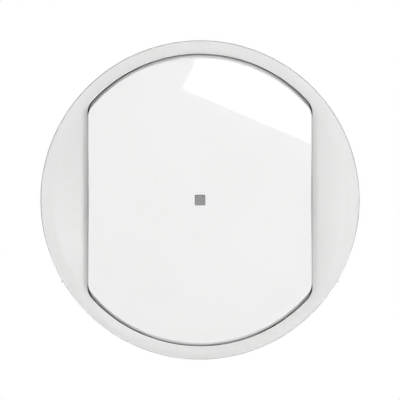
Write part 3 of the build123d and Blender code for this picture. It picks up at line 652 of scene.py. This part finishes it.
@dataclass
class RoundCover:
    """The dished cover: skirt, rolled rim, hollow dish, collar, snap legs and nubs.

    Attributes:
        roll, roll_depth: width and height of the rolled rim.
        brow_radius, brow_slope: where the dish begins, and the slope of the ring outside it.
        lip_strip, strip: strips of faces beside the lip and beside other edges.
        ceiling_run: width over which the room behind the dish opens from the collar.
    """

    outline: KeyOutline = KeyOutline()
    radius: float = 31.0
    crest_out: float = 8.0
    back_out: float = 0.6
    wall: float = 1.5
    edge: float = 0.12
    roll: float = 0.34
    roll_depth: float = 1.1
    slope: float = math.radians(8.4)
    hollow_radius: float = 180.0
    brow_radius: float = 28.4
    brow_slope: float = math.radians(3.0)
    gap: float = 0.13
    collar_wall: float = 1.2
    collar_back_out: float = 3.6
    lip_round: float = 0.04
    lip_strip: float = 0.6
    strip: float = 0.05
    ceiling_run: float = 0.6
    leg_inner_x: float = 25.4
    leg_wall: float = 1.4
    leg_width: float = 8.0
    barb_reach: float = 0.7
    barb_height: float = 0.9
    barb_back_out: float = 2.7
    leg_back_out: float = 1.6
    nub_radius: float = 0.3
    nub_angle: float = math.radians(30.6)
    nub_length: float = 4.0
    lip_rings: int = 6
    dish_rings: tuple[int, int] = (25, 7)
    roll_rings: int = 19
    ceiling_rings: int = 8
    # The cover wears the darker copy of the white plastic: painted shade on the dish.
    finish: Finish = WHITE_SATIN

    def dish_out(self, radius: Array | float) -> Array:
        """Height of the dish at a radius.

        From the rim to the brow it falls gently toward the middle. From the brow inward
        it falls at the dish's slope, less the depth of a shallow circular hollow.
        """
        radius = np.asarray(radius, float)
        inner = self.outline.half_width - self.gap
        chord = (self.brow_radius - inner) / math.cos(self.slope)
        along = (radius - (self.brow_radius + inner) / 2) / math.cos(self.slope)
        depth = np.sqrt(self.hollow_radius**2 - along**2) - math.sqrt(
            self.hollow_radius**2 - (chord / 2) ** 2
        )
        fall = np.maximum(self.brow_radius - radius, 0)
        ring = np.maximum(radius, self.brow_radius)
        ring_out = self.crest_out - (self.radius - ring) * math.tan(self.brow_slope)
        dish_out = ring_out - fall * math.tan(self.slope) - np.maximum(depth, 0)
        return np.where(fall > 0, dish_out, ring_out)

    def _rim_roll(self) -> tuple[Array, Array]:
        """Radii and heights round the rolled rim, from the dish to the skirt.

        The roll is a quarter of an ellipse, steeper than it is wide, cut where it is as
        steep as the dish's outer ring.
        """
        lean = math.atan(math.tan(self.brow_slope) * self.roll / self.roll_depth)
        angle = spread(math.pi / 2 + lean, 0.0, self.roll_rings)
        reach = self.radius - self.roll + self.roll * np.cos(angle)
        top = float(self.dish_out(reach[0]))
        drop = self.roll_depth * (np.sin(angle[0]) - np.sin(angle))
        return reach, top - drop

    def _dish_rings(self, ray: Array, start: Array, end: Array | float, count: int) -> list[Array]:
        """Rings along the dish from one radius to another, without the first.

        Args:
            ray: direction of each point of a ring.
            start: radius to start from, one per point.
            end: radius to end at.
            count: number of rings.

        Returns:
            The rings.
        """
        radii = (start + (end - start) * share for share in spread(0.0, 1.0, count + 1)[1:])
        return [place(ray * radius[:, None], self.dish_out(radius)) for radius in radii]

    def _shell(self, skin: Skin) -> None:
        """Adds the cover's closed wall.

        The rings follow the key's opening inside and a circle outside. They run up the
        collar's inner face, over its lip, out along the dish, round the rim, down the
        skirt, back up inside it and in under the dish to the collar.
        """
        lip = self.outline.inset(-self.gap - self.lip_round)
        reach = np.linalg.norm(lip, axis=1)
        ray = lip / reach[:, None]
        lip_out = self.dish_out(reach)
        opening = self.outline.inset(-self.gap)
        rings = [place(opening, self.collar_back_out + rise) for rise in (0.0, self.strip)]
        drops = (self.lip_strip, self.lip_round + NEAR)
        rings += [place(opening, lip_out - drop) for drop in drops]
        for angle in spread(0.0, math.pi / 2, self.lip_rings)[1:]:
            at = self.outline.inset(-self.gap - self.lip_round * (1 - math.cos(angle)))
            rings.append(place(at, lip_out - self.lip_round * (1 - math.sin(angle))))
        roll_radius, roll_out = self._rim_roll()
        brow = np.maximum(reach + NEAR, self.brow_radius)
        end = roll_radius[0] - NEAR / 2
        inner, outer = self.dish_rings
        rings += self._dish_rings(ray, reach, brow, inner) + self._dish_rings(ray, brow, end, outer)
        inside = self.radius - self.wall
        skirt = (*zip(roll_radius, roll_out), (self.radius, roll_out[-1] - self.strip),
                 (self.radius, self.back_out + self.edge), (self.radius - self.edge, self.back_out),
                 (inside + self.edge, self.back_out), (inside, self.back_out + self.edge))
        rings += [place(ray * radius, out) for radius, out in skirt]
        collar = self.outline.inset(-self.gap - self.collar_wall)
        collar_reach = np.minimum(np.linalg.norm(collar, axis=1), inside - 1e-4)
        room = np.clip((inside - collar_reach) / self.ceiling_run, 0, 1)
        room = room * room * (3 - 2 * room)
        for share in spread(0.0, 1.0, self.ceiling_rings):
            radius = inside + (collar_reach - inside) * share
            ceiling = self.dish_out(radius) - self.wall
            height = self.collar_back_out + (ceiling - self.collar_back_out) * room
            rings.append(place(ray * radius[:, None], height))
        rings.append(place(ray * collar_reach[:, None], self.collar_back_out))
        skin.add_ring_stack(np.stack(rings))

    def _legs_and_nubs(self, skin: Skin) -> None:
        """Adds the two barbed snap legs under the dish and the two nubs on the skirt."""
        top = float(self.dish_out(self.leg_inner_x + self.leg_wall / 2)) - self.wall / 2
        barb_top = self.barb_back_out + self.barb_height
        near, far = self.leg_inner_x, self.leg_inner_x + self.leg_wall
        section = np.array([
            (near, top), (near, barb_top), (near - self.barb_reach, barb_top),
            (near, self.barb_back_out), (near, self.leg_back_out), (far, self.leg_back_out),
            (far, top)])
        circle = on_circle(round_turn(24))
        dome = spread(0, math.pi / 2, 6)
        swell = np.concatenate([np.sin(dome), np.cos(dome)])
        rise = np.concatenate([-np.cos(dome), np.sin(dome) + self.nub_length / self.nub_radius])
        for way in (-1, 1):
            ends = [np.insert(section * (way, -1), 2, side * self.leg_width / 2, axis=1)
                    for side in (-1, 1)]
            skin.add_capped_stack(np.stack(ends))
            foot = self.radius * on_circle(-self.nub_angle) * (way, 1)
            size = np.maximum(swell, 1e-3)[:, None, None] * self.nub_radius
            out = self.back_out + self.wall + self.nub_radius * rise
            skin.add_capped_stack(place(foot + size * circle, out[:, None]))

    def build(self, paint: Paintbox) -> Piece:
        """Builds the cover as one piece in its finish."""
        skin = Skin("cover_shell")
        self._shell(skin)
        self._legs_and_nubs(skin)
        return skin.write(Body.MODULE, "white_gloss_plastic", "cover_dish",
                          paint.coat(self.finish))


@dataclass
class FingerKey:
    """The rocking finger key: leaning shell, window boss, ribs, pushers and ears.

    Attributes:
        foot, crown: outlines below the lean and at the face.
        lean_out: height where the wall starts to lean in.
        soft: bevel of the wall's lower edges, and half the band over which the lean starts.
        strip and others of this name: strips of faces beside an edge.
        rib_bite: how far an upright rib goes into the wall.
        pusher_bend: power of sine and cosine that makes the pusher's outline nearly square.
        mouth_half, root_half: half width of an ear's mouth and of its root.
    """

    foot: KeyOutline = KeyOutline()
    crown: KeyOutline = KeyOutline(radius=27.5, half_width=21.53, corner=3.28)
    face_out: float = 10.4
    lean_out: float = 7.75
    back_out: float = 4.2
    edge_round: float = 0.42
    soft: float = 0.1
    strip: float = 0.05
    face_strip: float = 0.03
    foot_strip: float = 0.25
    window_strip: float = 0.15
    wall: float = 1.5
    skin_thickness: float = 1.6
    window_half: float = 1.0
    window_corner: float = 0.2
    window_round: float = 0.08
    boss_half: float = 2.5
    boss_corner: float = 0.35
    boss_back_out: float = 7.0
    rib_half: float = 0.5
    rib_height: float = 1.0
    rib_at: float = 10.0
    rib_bite: float = 0.4
    pusher_at: float = 10.0
    pusher_half: tuple[float, float] = (3.0, 1.5)
    pusher_bend: float = 2 / 9
    pusher_edge: float = 0.12
    pusher_back_out: float = 6.95
    ear_inner_x: float = 17.05
    ear_outer_x: float = 18.65
    ear_radius: float = 2.75
    bore_radius: float = 1.55
    mouth_half: float = 1.2
    root_half: float = 4.5
    pivot_out: float = 4.7
    face_rings: int = 12
    edge_rings: int = 11
    ear_points: tuple[int, int] = (26, 44)
    finish: Finish = WHITE_GLOSS

    @property
    def under_out(self) -> float:
        """Height of the face's rear side."""
        return self.face_out - self.skin_thickness

    def _outline_at(self, out: float, inset: float = 0.0) -> Array:
        """The key's outline at a height, drawn in along its normals.

        It is the foot's below the lean, and runs straight to the crown's above it.
        """
        share = min(max((out - self.lean_out) / (self.face_out - self.lean_out), 0.0), 1.0)
        return (1 - share) * self.foot.inset(inset) + share * self.crown.inset(inset)

    def _edge_rings(self) -> list[Array]:
        """Rings from the face, over its rounded edge and down the wall to the foot.

        The wall's lean follows the distance between the two outlines, point by point. The
        round is the arc that touches the face and the wall there: its middle lies inward
        of the crown by round * (1 - sin lean) / cos lean.
        """
        gap = np.linalg.norm(self.foot.trace()[0] - self.crown.trace()[0], axis=1)
        lean = np.arctan2(gap, self.face_out - self.lean_out)
        middle = self.edge_round * (1 - np.sin(lean)) / np.cos(lean)
        rings = [place(self.crown.inset(middle + self.face_strip), self.face_out)]
        for share in spread(0.0, 1.0, self.edge_rings):
            angle = math.pi / 2 + (lean - math.pi / 2) * share
            rings.append(place(self.crown.inset(middle - self.edge_round * np.cos(angle)),
                               self.face_out - self.edge_round * (1 - np.sin(angle))))
        turns = (self.face_out - self.edge_round - self.strip, self.lean_out + self.soft,
                 self.lean_out - self.soft, self.back_out + self.foot_strip,
                 self.back_out + self.soft)
        return rings + [place(self._outline_at(out), out) for out in turns]

    def _shell(self, skin: Skin) -> None:
        """Adds the key's closed wall, a bent tube round the window's opening."""
        plan, _ = self.foot.trace()
        window = rounded_square_at(plan, self.window_half, self.window_corner)
        boss = rounded_square_at(plan, self.boss_half, self.boss_corner)
        opened = window * (1 + self.window_round / self.window_half)
        face = self.crown.inset(self.edge_round + self.strip)
        inner = self.foot.inset(self.wall)
        steps = [(window, self.boss_back_out), (window, self.face_out - self.window_strip),
                 (window, self.face_out - self.window_round), (opened, self.face_out)]
        steps += [(opened + (face - opened) * share, self.face_out)
                  for share in spread(0.0, 1.0, self.face_rings)[1:]]
        rings = [place(*step) for step in steps] + self._edge_rings()
        steps = ((self.foot.inset(self.soft), self.back_out),
                 (self.foot.inset(self.wall - self.soft), self.back_out),
                 (inner, self.back_out + self.soft), (inner, self.lean_out),
                 (self._outline_at(self.under_out, self.wall), self.under_out),
                 (boss, self.under_out), (boss, self.boss_back_out))
        rings += [place(*step) for step in steps]
        skin.add_ring_stack(np.stack(rings))

    def _inner_work(self, skin: Skin) -> None:
        """Adds the ribs, the pushers over the plungers and the two snap ears.

        An upright rib ends at the key's inner outline, measured at the rib's place.
        """
        inside = self._outline_at(self.under_out, self.wall)
        top = self.under_out + self.skin_thickness / 2
        low = self.under_out - self.rib_height
        wide = self.foot.half_width - self.wall
        for at in (-self.rib_at, self.rib_at):
            beside = inside[np.abs(inside[:, 0] - at) < self.rib_half + self.soft]
            reach = np.abs(beside[:, 1]).min() + self.rib_bite
            sides = (at - self.rib_half, at + self.rib_half)
            skin.add_prism(rectangle(*sides, -reach, reach), low, top)
            skin.add_prism(rectangle(-wide, wide, *sides), low, top)
        ray = on_circle(round_turn(32) + math.pi / 32)
        pusher = np.sign(ray) * np.abs(ray) ** self.pusher_bend * self.pusher_half
        for at in (-self.pusher_at, self.pusher_at):
            skin.add_prism(pusher + (0.0, at), self.pusher_back_out, top, edge=self.pusher_edge)
        for left in (-self.ear_outer_x, self.ear_inner_x):
            skin.add_slab(self._ear_section(), left, left + self.ear_outer_x - self.ear_inner_x)

    def _ear_section(self) -> Array:
        """Outline of an ear in up and out: a hull round the bore, split by its mouth.

        The hull's straight flanks touch the ring round the bore and end at the ear's root.
        """
        root = np.array([self.root_half, self.under_out + self.skin_thickness / 2])
        toward = root - np.array([0.0, self.pivot_out])
        distance = float(np.linalg.norm(toward))
        flank = math.atan2(toward[1], toward[0]) - math.acos(self.ear_radius / distance)
        mouth_out = math.asin(self.mouth_half / self.ear_radius)
        mouth_in = math.asin(self.mouth_half / self.bore_radius)
        down = -math.pi / 2
        outer, inner = self.ear_points
        ring_right = spread(flank, down + mouth_out, outer)
        bore = spread(down + mouth_in, 1.5 * math.pi - mouth_in, inner)
        ring_left = spread(down - mouth_out, -math.pi - flank, outer)
        parts = [root[None]]
        for radius, angle in ((self.ear_radius, ring_right), (self.bore_radius, bore),
                              (self.ear_radius, ring_left)):
            parts.append(radius * on_circle(angle) + (0.0, self.pivot_out))
        parts.append(np.array([[-root[0], root[1]]]))
        return np.concatenate(parts)

    def build(self, paint: Paintbox) -> Piece:
        """Builds the key as one piece in its finish."""
        skin = Skin("finger_key")
        self._shell(skin)
        self._inner_work(skin)
        return skin.write(Body.KEY, "white_gloss_plastic", "rocker_key",
                          paint.coat(self.finish))


@dataclass
class IndicatorWindow:
    """The square window in the key: a small block with soft edges on a wider flange."""

    half: float = 0.97
    corner_share: float = 0.2
    face_out: float = 10.4
    seat_out: float = 7.0
    flange_half: float = 1.7
    flange_out: float = 6.3
    soft: float = 0.16
    soft_share: float = 0.3
    pole_share: float = 0.02
    sunk: float = 0.05
    finish: Finish = SMOKED

    def _ring(self, half: float, out: float) -> Array:
        """A ring of a square with rounded corners at a height."""
        square = rounded_square_at(on_circle(round_turn(96)), half, self.corner_share * half)
        return place(square, out)

    def build(self, paint: Paintbox) -> Piece:
        """Builds the window as one piece in its finish."""
        face = self.face_out - self.sunk
        steps = (
            (self.flange_half, self.flange_out), (self.flange_half, self.seat_out),
            (self.half, self.seat_out), (self.half, face - self.soft),
            (self.half - self.soft * self.soft_share, face - self.soft * self.soft_share),
            (self.half - self.soft, face), (self.half / 2, face),
            (self.half * self.pole_share, face),
        )
        skin = Skin("indicator_window")
        skin.add_capped_stack(np.stack([self._ring(half, out) for half, out in steps]))
        return skin.write(Body.KEY, "smoked_window", "indicator_lens", paint.coat(self.finish))


# Stage, light and camera


def area_lamp(name: str, middle: Vector, along: Vector, up: Vector, size: tuple[float, float],
              radiance: float) -> Piece:
    """Hangs a rectangular lamp that shines against the cross product of along and up.

    Args:
        name: name of the lamp.
        middle: its middle, in metres.
        along: direction of its width.
        up: direction of its height, square to along.
        size: width and height, in metres.
        radiance: brightness of its face.

    Returns:
        The lamp.
    """
    data = bpy.data.lights.new(name, "AREA")
    data.shape = "RECTANGLE"
    data.size, data.size_y = size
    data.energy = radiance * math.pi * size[0] * size[1]
    lamp = into_scene(name, data)
    lamp.location = middle
    lamp.rotation_mode = "QUATERNION"
    lamp.rotation_quaternion = Matrix((along, up, along.cross(up))).transposed().to_quaternion()
    lamp.visible_camera = False
    return lamp


@dataclass(frozen=True)
class SoftLamp:
    """A square lamp that faces the cover's middle from a given direction.

    Attributes:
        name: name of the lamp.
        azimuth: degrees to the right of straight in front.
        elevation: degrees above level.
        distance, size: its distance and the side of its square, in millimetres.
        radiance: brightness of its face.
        mirrored: whether glossy surfaces show it.
    """

    name: str
    azimuth: float
    elevation: float
    distance: float
    size: float
    radiance: float
    mirrored: bool = True

    def hang(self) -> Piece:
        """Makes the lamp."""
        turn, rise = math.radians(self.azimuth), math.radians(self.elevation)
        toward = Vector((math.sin(turn) * math.cos(rise), -math.cos(turn) * math.cos(rise),
                         math.sin(rise)))
        along = Vector((math.cos(turn), math.sin(turn), 0))
        lamp = area_lamp(self.name, toward * self.distance * MM, along, toward.cross(along),
                         (self.size * MM,) * 2, self.radiance)
        lamp.visible_glossy = self.mirrored
        return lamp


@dataclass(frozen=True)
class PaleFloor:
    """A round pale floor that runs out into the white ground toward its edge.

    Attributes:
        down: depth below the cover's middle, past the lower edge of the level camera's view.
        radius: radius of the floor.
        plain_radius: radius inside which the floor is plain.
        colour, roughness: those of its paint.
        glow: brightness of the ground that it runs out into.
        near_share: share of the glow in the plain part.
    """

    down: float = 75.0
    radius: float = 350.0
    plain_radius: float = 90.0
    colour: Colour = (0.82, 0.82, 0.82)
    roughness: float = 0.9
    glow: float = 2.0
    near_share: float = 0.12

    def _material(self) -> Material:
        """Matt paint that turns to the ground's glow with the distance, clear from below."""
        made = bpy.data.materials.new("pale_floor")
        made.use_nodes = True
        tree = made.node_tree
        paint = fill(tree, tree.nodes["Principled BSDF"],
                     {"Base Color": (*self.colour, 1), "Roughness": self.roughness})
        away = add_node(tree, "VectorMath", {0: add_node(tree, "TexCoord").outputs["Object"]})
        away.operation = "LENGTH"
        share = add_node(tree, "MapRange", {
            "Value": away.outputs["Value"], "To Min": self.near_share,
            "From Min": math.hypot(self.plain_radius, self.down) * MM,
            "From Max": math.hypot(self.radius, self.down) * MM})
        share.interpolation_type = "SMOOTHERSTEP"
        ground = add_node(tree, "Emission", {"Strength": self.glow})
        fading = add_node(tree, "MixShader", {0: share.outputs["Result"], 1: paint.outputs[0],
                                              2: ground.outputs[0]})
        seen = add_node(tree, "MixShader", {
            0: add_node(tree, "NewGeometry").outputs["Backfacing"], 1: fading.outputs[0],
            2: add_node(tree, "BsdfTransparent").outputs[0]})
        fill(tree, tree.nodes["Material Output"], {"Surface": seen.outputs[0]})
        return made

    def lay(self) -> Piece:
        """Makes the floor, one round face, and puts it in the scene."""
        edge = np.insert(self.radius * on_circle(round_turn(96)), 2, -self.down, axis=1)
        mesh = bpy.data.meshes.new("pale_floor")
        mesh.from_pydata(edge * MM, [], [list(range(len(edge)))])
        mesh.materials.append(self._material())
        floor = into_scene("pale_floor", mesh)
        return floor


@dataclass(frozen=True)
class AmbientLight:
    """Strength of the light from each of the six sides, as seen from the camera."""

    left: float = 0.1
    right: float = 0.1
    front: float = 0.0
    back: float = 0.8
    below: float = 0.0
    above: float = 0.1

    def strength(self, tree: Tree) -> Socket:
        """Strength of the light from every direction.

        It is the sum over the axes of the direction's part along the axis, squared, times
        the strength from that side.

        Args:
            tree: the world's node tree.

        Returns:
            The socket of the strength.
        """
        where = add_node(tree, "TexCoord").outputs["Generated"]
        parts = add_node(tree, "SeparateXYZ", {0: where})
        total: Value = 0.0
        sides = ((self.left, self.right), (self.front, self.back), (self.below, self.above))
        for part, (low, high) in zip(parts.outputs, sides):
            ahead = math_node(tree, "GREATER_THAN", part, 0.0)
            side = math_node(tree, "MULTIPLY_ADD", ahead, high - low, low)
            squared = math_node(tree, "MULTIPLY", part, part)
            total = math_node(tree, "MULTIPLY_ADD", squared, side, total)
        return total


@dataclass
class Studio:
    """White ground, pale floor, lamps, world light and the camera straight in front."""

    lens: float = 200.0
    sensor: float = 36.0
    clip: tuple[float, float] = (0.01, 20.0)
    crest_out: float = 8.0
    view_width: float = 77.5
    box_corner: tuple[float, float] = (-6.2, 42.8)
    box_along: tuple[float, float] = (0.92, -0.39)
    box_size: tuple[float, float] = (85.0, 24.0)
    box_radiance: float = 5.0
    # Rows: name, azimuth, elevation, distance, size, radiance.
    lamps: tuple[SoftLamp, ...] = (
        SoftLamp("main_lamp", 16.5, 0, 700, 75, 55.9, mirrored=False),
        SoftLamp("front_right_lamp", 24, 0, 450, 110, 5.34, mirrored=False),
        SoftLamp("right_lamp", 42, 0, 450, 159, 1.11),
        SoftLamp("high_right_lamp", 62.8, 41.6, 450, 159, 3.45),
        SoftLamp("front_left_lamp", -20, 0, 700, 172, 5.34, mirrored=False),
        SoftLamp("upper_left_lamp", -27.2, 24.6, 700, 247, 2.41),
        SoftLamp("left_lamp", -55, 0, 1000, 352, 2.25),
        SoftLamp("high_left_lamp", -62.8, 41.6, 700, 247, 1.86),
        SoftLamp("top_lamp", 0, 76, 450, 159, 4.74),
        SoftLamp("rear_lamp", 180, 0, 700, 350, 5, mirrored=False),
    )
    ambient: AmbientLight = AmbientLight()
    floor: PaleFloor = PaleFloor()
    gamma: float = 0.69

    @property
    def camera_out(self) -> float:
        """Distance of the camera in front of the flange."""
        return self.crest_out + self.view_width * self.lens / self.sensor

    def camera(self) -> None:
        """Makes the camera, looking level into the wall."""
        data = bpy.data.cameras.new("front_camera")
        data.lens, data.sensor_width = self.lens, self.sensor
        data.clip_start, data.clip_end = self.clip
        eye = into_scene("front_camera", data)
        eye.location = (0, -self.camera_out * MM, 0)
        eye.rotation_euler = (math.pi / 2, 0, 0)
        bpy.context.scene.camera = eye

    def softbox(self) -> None:
        """Hangs the narrow softbox whose image stands on the key's upper right."""
        along = np.array(self.box_along) / np.linalg.norm(self.box_along)
        up = np.array([-along[1], along[0]])
        middle = (np.array(self.box_corner) + along * self.box_size[0] / 2
                  + up * self.box_size[1] / 2) * MM
        area_lamp("softbox", Vector((middle[0], -self.camera_out * MM, middle[1])),
                  Vector((along[0], 0, along[1])), Vector((up[0], 0, up[1])),
                  (self.box_size[0] * MM, self.box_size[1] * MM), self.box_radiance)

    def world(self) -> None:
        """A white ground for the camera, and the ambient light for everything else."""
        world = bpy.data.worlds.new("studio")
        bpy.context.scene.world = world
        world.use_nodes = True
        tree, white = world.node_tree, (1, 1, 1, 1)
        lit = fill(tree, tree.nodes["Background"],
                   {"Color": white, "Strength": self.ambient.strength(tree)})
        seen = add_node(tree, "Background", {"Color": white, "Strength": 1.0})
        mix = add_node(tree, "MixShader", {
            0: add_node(tree, "LightPath").outputs["Is Camera Ray"], 1: lit.outputs[0],
            2: seen.outputs[0]})
        fill(tree, tree.nodes["World Output"], {"Surface": mix.outputs[0]})

    def build(self) -> None:
        """Sets up the whole studio."""
        view = bpy.context.scene.view_settings
        view.view_transform, view.gamma = "Standard", self.gamma
        self.camera()
        self.world()
        self.softbox()
        self.floor.lay()
        for lamp in self.lamps:
            lamp.hang()


def main() -> None:
    """Loads the frame, builds and dresses the pieces, and sets up the studio."""
    logging.basicConfig(level=logging.INFO, format="%(name)s: %(message)s")
    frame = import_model()
    Studio().build()
    paint = Paintbox()
    for assembly in (RoundCover(), FingerKey(), IndicatorWindow()):
        assembly.build(paint)
    PackedSolids(frame["nodes"], frame["record"]).dress(paint)


if __name__ == "__main__":
    main()
